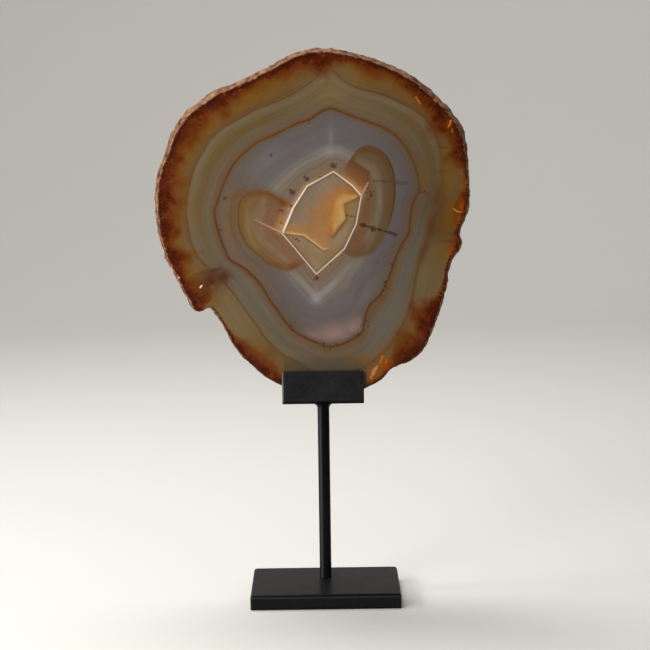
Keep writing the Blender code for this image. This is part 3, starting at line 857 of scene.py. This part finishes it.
def make_slice():
    shape = Slice()
    shape.build()
    places = np.array(shape.places)
    mesh = bpy.data.meshes.new("agate")
    mesh.from_pydata((places * MM).tolist(), [], shape.faces)
    mesh.polygons.foreach_set("material_index", shape.looks)
    mesh.shade_smooth()
    mesh.set_sharp_from_angle(angle=math.radians(50))
    for edge in mesh.edges:
        first, second = sorted(edge.vertices)
        if any(start <= first and second < start + SPOKES for start in shape.borders):
            edge.use_edge_sharp = True
    flat = places[:, (0, 2)]
    fields = slice_fields(flat, np.array(shape.rings), np.array(shape.spokes))
    for name, values in fields.items():
        carried = mesh.attributes.new(name, "FLOAT", "POINT")
        carried.data.foreach_set("value", values.astype(np.float32))
    piece = bpy.data.objects.new("agate_slice_stone", mesh)
    bpy.context.scene.collection.objects.link(piece)
    mesh.materials.append(polished_agate("agate_inside_brown_line", True))
    mesh.materials.append(polished_agate("agate_outside_brown_line", False))
    mesh.materials.append(rough_rind())
    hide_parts("agate_slice")
    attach(piece, "root")
    return piece


def ring_window(net, ring, low, rise, fall, high):
    """1 for rings between rise and fall, with soft ends."""
    return net.times(net.step(ring, low, rise), net.step(ring, high, fall))


def around(net, ring, place, pace, sideways, seed=0.0):
    """Noise drawn out along the bands: pace is how fast it changes across them."""
    x, _, z = net.split(place)
    spot = net.combine(net.scaled(ring, pace, seed), net.times(x, sideways), net.times(z, sideways))
    return net.noise(spot, 1.0, 2.0, 0.6)


def lighten(net, colour, field, amount):
    """Makes a colour lighter or darker by noise, whose middle is a half."""
    return net.vector("SCALE", colour, scale=net.scaled(net.swing(field, 2.0), amount, 1.0))


def add_bands(net, ring, place):
    """The bands outside the core, with fine lines that follow them."""
    sway = net.swing(net.noise(place, 24.0, 2.0), 0.10)
    jitter = net.swing(net.noise(place, 190.0, 2.0), 0.02)
    ring = net.total(ring, sway, jitter)
    along = net.math("DIVIDE", net.math("SUBTRACT", ring, 1.0), 3.0)
    net.colour = net.ramp(along, [((at - 1) / 3, tone) for at, tone in BAND_TONES])
    net.coat((110, 94, 66), "pale", net.step(ring, 2.95, 3.1))
    net.coat((100, 80, 45), "olive", ring_window(net, ring, 2.38, 2.5, 2.64, 2.76), 0.75)
    net.coat((108, 96, 72), "olive", ring_window(net, ring, 2.7, 2.8, 2.9, 2.98), 0.6)
    net.coat((99, 92, 82), "cool", ring_window(net, ring, 2.12, 2.4, 2.75, 2.98))
    net.coat((100, 94, 97), "mauve")
    net.coat((110, 87, 60), "tan")
    net.coat((117, 98, 64), "yellow")
    calm = ring_window(net, ring, 1.4, 1.5, 1.88, 1.98)
    net.colour = lighten(net, net.colour, around(net, ring, place, 7.0, 12.0), 0.15)
    tint = around(net, ring, place, 11.0, 10.0, 40.0)
    warmer = net.mix(1.0, net.colour, (255, 242, 222), "MULTIPLY")
    net.coat(warmer, net.step(tint, 0.45, 0.75), net.scaled(calm, -0.6, 1.0))
    fine = around(net, ring, place, 26.0, 14.0, 80.0)
    net.colour = lighten(net, net.colour, fine, net.scaled(calm, -0.07, 0.13))
    net.colour = lighten(net, net.colour, net.noise(place, 45.0, 3.0, 0.55), 0.06)


def add_haze(net, ring, place):
    """The milky band round the core, the milky fork under it, and pale and pink patches."""
    bent = net.total(ring, net.swing(net.noise(place, 40.0, 2.0), 0.1))
    wide = ring_window(net, bent, 1.2, 1.33, 1.35, 1.5)
    net.coat((122, 115, 105), wide, "milk", 0.5)
    for middle, half, strength in ((1.34, 0.045, 0.5), (1.42, 0.03, 0.25), (1.26, 0.02, 0.2)):
        line = net.ridge(bent, middle, half)
        net.coat((138, 130, 119), line, "milk", strength)
    fork = net.total("fork_mm", net.swing(net.noise(place, 120.0, 2.0), 1.6))
    beside = net.math("ABSOLUTE", net.total(net.split(place)[0], 3.6 * MM))
    fade = net.step(beside, 27.0 * MM, 4.0 * MM)
    net.coat((142, 136, 128), net.step(fork, 3.8, 0.2), fade, 0.52)
    net.coat((128, 120, 112), net.ridge(fork, 4.6, 1.0), fade, 0.25)
    net.coat((140, 138, 140), "haze")
    net.coat((148, 118, 114), "pink")


def add_lobe(net, side, off, wave, tones, rings, grain, narrowing, fade):
    """A lobe's tones from its middle outwards, with fine rings. A line makes its edge sharper."""
    share, line = net.field(side + "_share"), net.field(side + "_line")
    tone = net.ramp(share, tones)
    fine = net.noise(net.combine(net.scaled(share, *rings), net.times(wave, 0.3)), 1.0, 2.0)
    tone = lighten(net, tone, fine, grain)
    cover = net.math("DIVIDE", off, net.scaled(line, narrowing, 2.6))
    net.coat(tone, net.step(cover, fade, -fade), 0.94)


def add_lobes(net, place):
    """The two eye-like lobes beside the core, with rings of their own, and the brown facets."""
    wave = net.swing(net.noise(place, 90.0, 3.0), 1.6)
    off = net.total("left_mm", wave)
    line, band = net.field("left_line"), net.field("left_band")
    net.coat((104, 80, 50), net.step(off, 6.5, 3.5), line, 0.5)
    net.coat((98, 72, 42), net.ridge(off, 4.6, 1.4), line, 0.5)
    add_lobe(net, "left", off, wave, LEFT_TONES, (44.0, 0.0), 0.15, -1.2, 0.6)
    net.coat((106, 72, 44), net.ridge(off, -2.6, 3.8), band, 0.8)
    net.coat((94, 62, 26), net.ridge(off, -0.5, 1.1), line, 0.75)
    net.coat((106, 76, 40), net.ridge(off, -3.4, 0.9), line, 0.4)
    off = net.total("right_mm", net.times(wave, 0.6))
    line, band = net.field("right_line"), net.field("right_band")
    add_lobe(net, "right", off, wave, RIGHT_TONES, (38.0, 9.0), 0.14, -2.0, 0.7)
    net.coat((93, 64, 34), net.ridge(off, -2.6, 4.2), band, 0.8)
    net.coat((68, 44, 22), net.ridge(off, -0.3, 1.0), line, 0.85)
    for name, shade in (
        ("lobe_rose", (124, 92, 74)), ("lobe_brown", (106, 74, 46)),
        ("lobe_pale", (136, 117, 90)), ("lobe_rust", (110, 62, 34)),
    ):
        net.coat(shade, name)
    x, _, _ = net.split(place)
    facet = net.step("patch_mm", 0.7, -0.7)
    facet = net.times(facet, net.scaled(net.step(x, 13.0 * MM, 21.0 * MM), 0.5, 0.45))
    mottle = net.swing(net.noise(place, 150.0, 2.0), 3.0)
    warm = net.ramp(net.times(net.total("core_mm", mottle), 0.06), (
        (0.0, (176, 126, 78)), (0.1, (152, 102, 60)), (0.26, (132, 84, 48)),
        (0.5, (116, 74, 46)), (0.72, (104, 64, 42)), (0.9, (100, 68, 50)),
    ))
    net.coat(warm, facet)
    net.coat((112, 76, 48), net.step("brown_mm", 1.2, -1.2), 0.5)
    net.coat((176, 128, 80), "corner_glow")


def add_stains(net, ring, place):
    """Amber, rust and dark brown that reach in from the rim in tongues, and a broken edge.

    The broken edge shows the rind's colour, pale as a painted highlight on the upper left and the
    right, where light falls.
    """
    from_middle = net.vector("SUBTRACT", place, (CENTRE[0] * MM, 0.0, CENTRE[1] * MM))
    x, _, z = net.split(net.vector("NORMALIZE", from_middle))
    depth = net.math("SUBTRACT", 4.0, ring)

    def spokewise(fineness, pace, detail):
        spot = net.combine(net.times(x, fineness), net.times(z, fineness), net.times(depth, pace))
        return net.noise(spot, 1.0, detail, 0.5)

    tongue = spokewise(15.0, 3.0, 1.0)
    comb = spokewise(75.0, 3.0, 2.0)
    hair = spokewise(170.0, 10.0, 2.0)
    blotch = net.noise(place, 150.0, 2.0, 0.45)
    broad = net.noise(place, 85.0, 2.0)
    grain = net.noise(place, 430.0, 3.0, 0.6)
    cloud = net.noise(place, 60.0, 2.0)
    edge = net.field("edge_mm")
    amber = net.total("amber", net.swing(broad, 0.8), net.swing(tongue, 0.4))
    gold = net.mix(net.step(broad, 0.38, 0.62), (100, 53, 8), (113, 74, 16))
    gold = net.paint(gold, (98, 50, 8), net.step(amber, 0.9, 0.3))
    net.coat(gold, net.step(amber, 1.25, 0.25), 0.9)
    net.coat((110, 74, 14), "golden", 0.9)
    rust = net.total(
        net.times("dark", 0.72), net.scaled(tongue, 0.7, -0.38),
        net.swing(broad, 0.6), net.swing(blotch, 0.5),
    )
    tone = net.mix(net.step(cloud, 0.35, 0.65), (90, 36, 1), (94, 45, 15))
    tone = lighten(net, tone, comb, 0.2)
    net.coat(tone, net.step(rust, 1.5, 0.6), 0.92)
    dark = net.total(
        net.times("dark", 0.95), net.scaled(tongue, 0.9, -0.5),
        net.swing(blotch, 1.2), net.swing(comb, 0.5), net.swing(grain, 0.5),
    )
    tone = net.ramp(net.scaled(dark, 0.7, 0.15), (
        (0.0, (52, 10, 0)), (0.35, (62, 15, 0)), (0.7, (74, 25, 1)), (1.0, (88, 35, 4)),
    ))
    tone = net.paint(tone, (76, 22, 8), net.step(broad, 0.5, 0.68))
    tone = lighten(net, tone, grain, 0.35)
    net.coat(tone, net.step(dark, 1.15, 0.35), 0.95)
    # Bright orange, partly a painted glow of light through the rim
    net.coat((142, 64, 2), "orange_and_painted_glow", net.step(blotch, 0.2, 0.62))
    near = net.step(edge, 9.0, 1.0)
    rosy = net.step(net.noise(place, 200.0, 3.0, 0.6), 0.54, 0.72)
    net.coat((112, 56, 34), rosy, near, 0.4)
    glint = net.step(net.noise(place, 330.0, 2.0), 0.62, 0.74)
    net.coat((146, 74, 18), glint, near, 0.4)
    stained = net.step("dark", 3.0, 1.0)
    teeth = net.total(depth, net.scaled(comb, -0.5, 0.18), net.swing(grain, -0.12))
    net.coat((46, 9, 0), net.step(teeth, 0.06, -0.06), stained, 0.85)
    fleck = net.times(net.step(hair, 0.6, 0.72), net.step(edge, 6.0, 1.0))
    net.coat((146, 92, 60), fleck, net.step(blotch, 0.4, 0.6), 0.45)
    thin = net.total(edge, net.swing(grain, 2.0))
    net.coat((50, 16, 2), net.step(thin, 0.9, 0.2), 0.7)
    crumb = net.noise(place, 420.0, 3.0, 0.65)
    # Painted highlight: the pale broken edge shows on the upper left, and less on the right
    lit = net.step(net.scaled(x, -0.8, z), -0.6, 0.0)
    lit = net.math("MAXIMUM", lit, net.times(net.step(x, 0.3, 0.75), 0.6))
    broken = net.step(net.total(edge, net.swing(crumb, 5.0)), 0.3, -0.2)
    tone = net.mix(net.step(grain, 0.35, 0.65), (92, 54, 32), (160, 112, 78))
    net.coat(tone, broken, lit, 0.9)


def add_lines(net, place):
    """The brown line and the fainter one outside it."""
    wave = net.swing(net.noise(place, 130.0, 3.0), 0.9)
    strength = net.scaled(net.noise(place, 90.0, 2.0), 0.5, 0.7)
    main = net.total("main_mm", wave)
    net.coat((104, 72, 44), net.ridge(main, 0.8, 3.0), 0.3)
    line = net.times(net.ridge(main, 0.0, 1.3), strength)
    tone = net.mix("reddish", (84, 57, 24), (80, 45, 26))
    net.coat(tone, line)
    outer = net.total("outer_mm", wave)
    net.coat((82, 56, 32), net.ridge(outer, 0.0, 0.9), strength, 0.6)


def add_core(net, place):
    """The crystal core: beige, orange glow behind sharp crystal sides, and the white outline."""
    edge = net.field("core_mm")
    inside = net.step(edge, 0.3, -0.2)
    cloud = net.noise(place, 70.0, 3.0)
    rear = net.mix(net.step(cloud, 0.35, 0.65), (130, 106, 76), (138, 116, 92))
    lit = net.step("crystal_mm", 0.15, -0.35)
    warm = net.total("warmth", net.swing(cloud, 0.4))
    body = net.mix(net.step(warm, 0.2, 0.9), (125, 107, 88), (144, 105, 70))
    shake = net.swing(cloud, 5.0)
    tall = net.total("tall_in_mm", shake)
    body = net.paint(body, (154, 104, 56), net.step(tall, 13.0, 0.0), 0.9)
    glow = net.ramp(net.math("DIVIDE", "tall_mm", 12.0), (
        (0.0, (186, 154, 108)), (0.16, (178, 142, 86)), (0.5, (172, 126, 64)),
        (0.9, (164, 110, 52)),
    ))
    body = net.paint(body, glow, net.step(tall, 1.5, -2.5))
    # A deeper orange of the painted glow, just inside the tall crystal's outline
    painted_shade_and_deep_glow = net.times(net.ridge("tall_in_mm", -0.2, 2.6), net.step(cloud, 0.3, 0.6))
    body = net.paint(body, (154, 92, 34), painted_shade_and_deep_glow, 0.5)
    x, _, z = net.split(place)
    slanted = net.combine(net.scaled(x, 420.0, net.times(z, 300.0)), 0.0, net.times(z, 60.0))
    body = lighten(net, body, net.noise(slanted, 1.0, 2.0), 0.14)
    body = net.paint(body, (160, 116, 62), "gold")
    ribbon = net.field("ribbon_mm")
    glow = net.ramp(net.math("DIVIDE", ribbon, 7.0), (
        (0.0, (186, 156, 116)), (0.1, (176, 140, 94)), (0.2, (160, 114, 62)),
        (0.8, (154, 106, 60)),
    ))
    body = net.paint(body, glow, net.step(net.total(ribbon, shake), 6.5, 0.8))
    body = net.paint(body, (180, 146, 102), net.step(ribbon, 2.2, 0.3))
    shade = net.mix(net.step("tall_mm", 3.2, 0.2), rear, (112, 84, 46))
    shade = net.paint(shade, (96, 80, 58), net.step(ribbon, 1.8, 0.2), 0.7)
    shade = net.paint(shade, (136, 102, 56), "gold", 0.8)
    core = net.mix(lit, shade, body)
    core = lighten(net, core, net.noise(place, 210.0, 2.0), 0.1)
    core = lighten(net, core, net.noise(place, 75.0, 2.0), 0.1)
    core = net.paint(core, (86, 74, 58), net.ridge(edge, -1.5, 0.9), 0.55)
    core = net.paint(core, (96, 82, 62), net.ridge(edge, -3.4, 0.7), 0.22)
    net.coat(core, inside)
    width, glow = net.field("line_width"), net.field("line_glow")
    near = net.times(net.step(edge, 4.2, 0.2), 0.75, net.step(edge, -0.6, 0.0))
    net.coat((168, 138, 108), near, glow)
    line = net.step(net.math("DIVIDE", net.math("ABSOLUTE", edge), width), 1.25, 0.55)
    tone = net.mix(glow, (196, 178, 164), (228, 206, 184))
    net.coat(tone, line)
    spur = net.least(("spur_left_mm", "spur_right_mm"))
    spur = net.step(spur, 0.85, 0.2)
    net.coat((176, 138, 106), spur, "spur_fade", 0.9)


def spot_distances(net, place, spots):
    """How far off each spot is, as a share of its size."""
    for x, z, size in spots:
        away = net.vector("DISTANCE", place, (x * MM, FRONT_Y, z * MM))
        yield net.math("DIVIDE", away, 0.85 * size * MM)


def add_spots(net, spots, tone, strength, rough=0.45):
    """Small marks, each at X and Z with a size, all of one colour."""
    place = net.place()
    shake = net.swing(net.noise(place, 520.0, 3.0, 0.6), 2 * rough)
    nearest = net.total(net.least(spot_distances(net, place, spots)), shake)
    net.coat(tone, net.step(nearest, 1.25, 0.45), strength)


def streak_distances(net, place, streaks):
    """How far off each streak is, as a share of half its width."""
    for x0, z0, x1, z1, wide0, wide1 in streaks:
        run = Vector((x1 - x0, 0.0, z1 - z0)) * MM
        away = net.vector("SUBTRACT", place, (x0 * MM, FRONT_Y, z0 * MM))
        share = net.vector("DOT_PRODUCT", away, run)
        share = net.math("DIVIDE", share, run.length_squared, clamp=True)
        foot = net.vector("SCALE", run, scale=share)
        away = net.vector("LENGTH", net.vector("SUBTRACT", away, foot))
        yield net.math("DIVIDE", away, net.scaled(share, (wide1 - wide0) * MM, wide0 * MM))


def add_streaks(net, streaks, tone, strength, rough=0.8):
    """Short soft strokes, straight from one place to another."""
    place = net.place()
    shake = net.swing(net.noise(place, 500.0, 3.0, 0.6), 2 * rough)
    nearest = net.total(net.least(streak_distances(net, place, streaks)), shake)
    net.coat(tone, net.step(nearest, 1.5, 0.4), strength)


def polished_agate(name, inner):
    """The polished stone, inside or outside the brown line, which is drawn in both."""
    net = Net(name)
    ring = net.field("ring")
    place = net.place()
    add_bands(net, ring, place)
    if inner:
        add_haze(net, ring, place)
        add_lobes(net, place)
    # The stone is dimmed where painted shade lies
    light = net.math("SUBTRACT", STONE_LIGHT, "painted_shade_and_deep_glow")
    net.colour = net.vector("SCALE", net.colour, scale=light)
    if not inner:
        cloud = net.step(net.noise(place, 110.0, 3.0, 0.6), 0.25, 0.6)
        smear = net.times("smear", net.scaled(cloud, 0.35, 0.65))
        net.coat((84, 48, 18), smear)
    add_lines(net, place)
    if not inner:
        add_stains(net, ring, place)
        net.coat((64, 56, 46), "shade", 0.6)
    mottle = net.step(net.noise(place, 140.0, 3.0), 0.2, 0.55)
    net.coat((70, 36, 20), "smudge", mottle)
    if inner:
        add_core(net, place)
        add_streaks(net, FAINT_DASHES, (72, 54, 52), 0.6)
        add_streaks(net, DASHES, (62, 30, 24), 0.8)
        add_spots(net, DARK_SPECKS, (62, 42, 44), 0.8)
        add_spots(net, CORE_SPECKS, (76, 40, 20), 0.8)
    else:
        add_streaks(net, SMUDGE_STREAKS, (80, 42, 28), 0.45)
        # Orange strokes, partly painted glints and glow on chips
        add_streaks(net, ORANGE_STREAKS_AND_GLINTS, (186, 112, 46), 0.85, 1.5)
        # Painted highlights on chips
        add_streaks(net, CHIP_HIGHLIGHTS, (170, 124, 90), 0.7, 1.2)
        # Painted highlights in small pits
        add_spots(net, PIT_HIGHLIGHTS, (232, 206, 188), 1.0, 0.2)
    add_spots(net, LINE_SPECKS, (76, 40, 20), 0.8)
    net.shader.inputs["Specular Tint"].default_value = (1.0, 0.82, 0.62, 1.0)
    edge = net.step("edge_mm", 0.1, 1.2)
    return net.surface(net.colour, net.scaled(edge, -0.2, 0.45), 0.2)


def rough_rind():
    """The nodule's own brown skin round the rim, finely bumpy."""
    net = Net("rough_rind")
    place = net.place()
    blotch = net.noise(place, 220.0, 4.0, 0.65)
    colour = net.ramp(blotch, (
        (0.3, (54, 26, 14)), (0.42, (96, 60, 38)), (0.56, (128, 90, 62)), (0.72, (162, 120, 88)),
    ))
    fine = net.noise(place, 800.0, 3.0, 0.65)
    colour = lighten(net, colour, fine, 0.75)
    bumps = {"Strength": 0.9, "Distance": 0.9 * MM, "Height": net.total(fine, blotch)}
    net.put(net.shader.inputs["Normal"], net.node("ShaderNodeBump", bumps).outputs[0])
    return net.surface(colour, 0.85, 0.2)


def satin_black(name, level, roughness, gloss, edges, lines):
    """Satin black paint, paler on its sharp edges as rubbed paint and a painted edge highlight, as
    strongly as edges sets.

    The lines are painted highlights and painted shade; each is an axis, a place on it in
    millimetres, half a width, a strength and a grey.
    """
    net = Net(name)
    place = net.place()
    speck = net.noise(place, 900.0, 3.0, 0.6)
    cloud = net.noise(place, 60.0, 3.0, 0.6)
    colour = net.ramp(speck, ((0.3, (level - 5,) * 3), (0.7, (level + 4, level + 4, level + 5))))
    colour = lighten(net, colour, cloud, 0.5)
    bend = net.node("ShaderNodeNewGeometry").outputs["Pointiness"]
    # Sharp edges are paler: rubbed paint, and a painted edge highlight
    rubbed_and_highlit_edges = net.times(net.step(bend, 0.53, 0.6), net.scaled(cloud, 1.0, 0.3))
    colour = net.paint(colour, (110, 110, 112), rubbed_and_highlit_edges, edges)
    axes = net.split(place)
    # Painted highlights and painted shade, each along one axis
    for axis, middle, half, strength, grey in lines:
        line = net.ridge(axes[axis], middle * MM, half * MM)
        colour = net.paint(colour, (grey, grey, grey + 1), line, strength)
    return net.surface(colour, net.swing(cloud, 0.16, roughness), gloss)


def refine(node, name, material):
    """A smooth-shaded copy of a node's own solid, which stands for it."""
    bm = bmesh.new()
    bm.from_mesh(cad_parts[node].data)
    bmesh.ops.remove_doubles(bm, verts=bm.verts, dist=0.005 * MM)
    mesh = bpy.data.meshes.new(name)
    bm.to_mesh(mesh)
    bm.free()
    if "custom_normal" in mesh.attributes:
        mesh.attributes.remove(mesh.attributes["custom_normal"])
    mesh.shade_smooth()
    mesh.set_sharp_from_angle(angle=math.radians(35))
    mesh.materials.clear()
    mesh.materials.append(material)
    piece = bpy.data.objects.new(name, mesh)
    bpy.context.scene.collection.objects.link(piece)
    weighted = piece.modifiers.new("even shading", "WEIGHTED_NORMAL")
    weighted.keep_sharp = True
    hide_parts(node)
    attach(piece, "root")
    return piece


def make_camera():
    camera = bpy.data.objects.new("camera", bpy.data.cameras.new("camera"))
    camera.data.lens = CAMERA_LENS
    camera.data.sensor_width = 36.0
    camera.data.clip_start = 0.05
    camera.data.clip_end = 30.0
    pitch = Matrix.Rotation(math.radians(90) - CAMERA_DOWN, 4, "X")
    roll = Matrix.Rotation(CAMERA_ROLL, 4, "Z")
    camera.matrix_world = Matrix.Translation(CAMERA_PLACE) @ pitch @ roll
    bpy.context.scene.collection.objects.link(camera)
    bpy.context.scene.camera = camera


def make_floor():
    """A pale round floor that sweeps up far off on every side."""
    section = [(0.5, 0.0), (1.0, 0.0), (FLOOR_REACH, 0.0)]
    for step in range(1, 13):
        turn = math.pi / 2 * step / 12
        across = FLOOR_REACH + FLOOR_SWEEP * math.sin(turn)
        section.append((across, FLOOR_SWEEP - FLOOR_SWEEP * math.cos(turn)))
    section.append((FLOOR_REACH + FLOOR_SWEEP, 2 * FLOOR_SWEEP))
    turns = [2 * math.pi * i / FLOOR_SIDES for i in range(FLOOR_SIDES)]
    bm = bmesh.new()
    rows = []
    for radius, z in section:
        rows.append([bm.verts.new((radius * math.cos(a), radius * math.sin(a), z)) for a in turns])
    bm.faces.new(rows[0])
    for near, far in zip(rows, rows[1:]):
        for i in range(FLOOR_SIDES):
            j = (i + 1) % FLOOR_SIDES
            bm.faces.new((near[j], near[i], far[i], far[j]))
    mesh = bpy.data.meshes.new("studio_floor")
    bm.to_mesh(mesh)
    bm.free()
    mesh.shade_smooth()
    mesh.materials.append(Net("studio_paper").surface((196, 194, 188), 0.9, 0.1))
    floor = bpy.data.objects.new("studio_floor", mesh)
    bpy.context.scene.collection.objects.link(floor)


def make_lights():
    """Soft round lamps, and a dim world."""
    for name, place, aim, size, power in LAMPS:
        lamp = bpy.data.lights.new(name, "AREA")
        lamp.shape = "DISK"
        lamp.size = size
        lamp.energy = power
        thing = bpy.data.objects.new(name, lamp)
        thing.location = place
        thing.rotation_euler = (Vector(aim) - Vector(place)).to_track_quat("-Z", "Y").to_euler()
        bpy.context.scene.collection.objects.link(thing)
    world = bpy.data.worlds.new("studio")
    world.use_nodes = True
    background = world.node_tree.nodes["Background"]
    background.inputs["Color"].default_value = (0.9, 0.93, 1.0, 1.0)
    background.inputs["Strength"].default_value = 0.12
    bpy.context.scene.world = world
    bpy.context.scene.view_settings.view_transform = "Standard"


make_camera()
make_floor()
make_lights()
make_slice()
for node, name, slot, look in (
    ("cradle", "cradle_steel_u", "cradle_steel", (32, 0.4, 0.02, 0.3, CRADLE_PAINTED_LIGHT)),
    ("post", "post_steel_rod", "post_steel", (9, 0.3, 0.03, 0.05, POST_PAINTED_LIGHT)),
    ("base", "base_steel_plate", "base_steel", (21, 0.4, 0.08, 0.4, BASE_PAINTED_LIGHT)),
):
    refine(node, name, satin_black(node + "_black", *look))
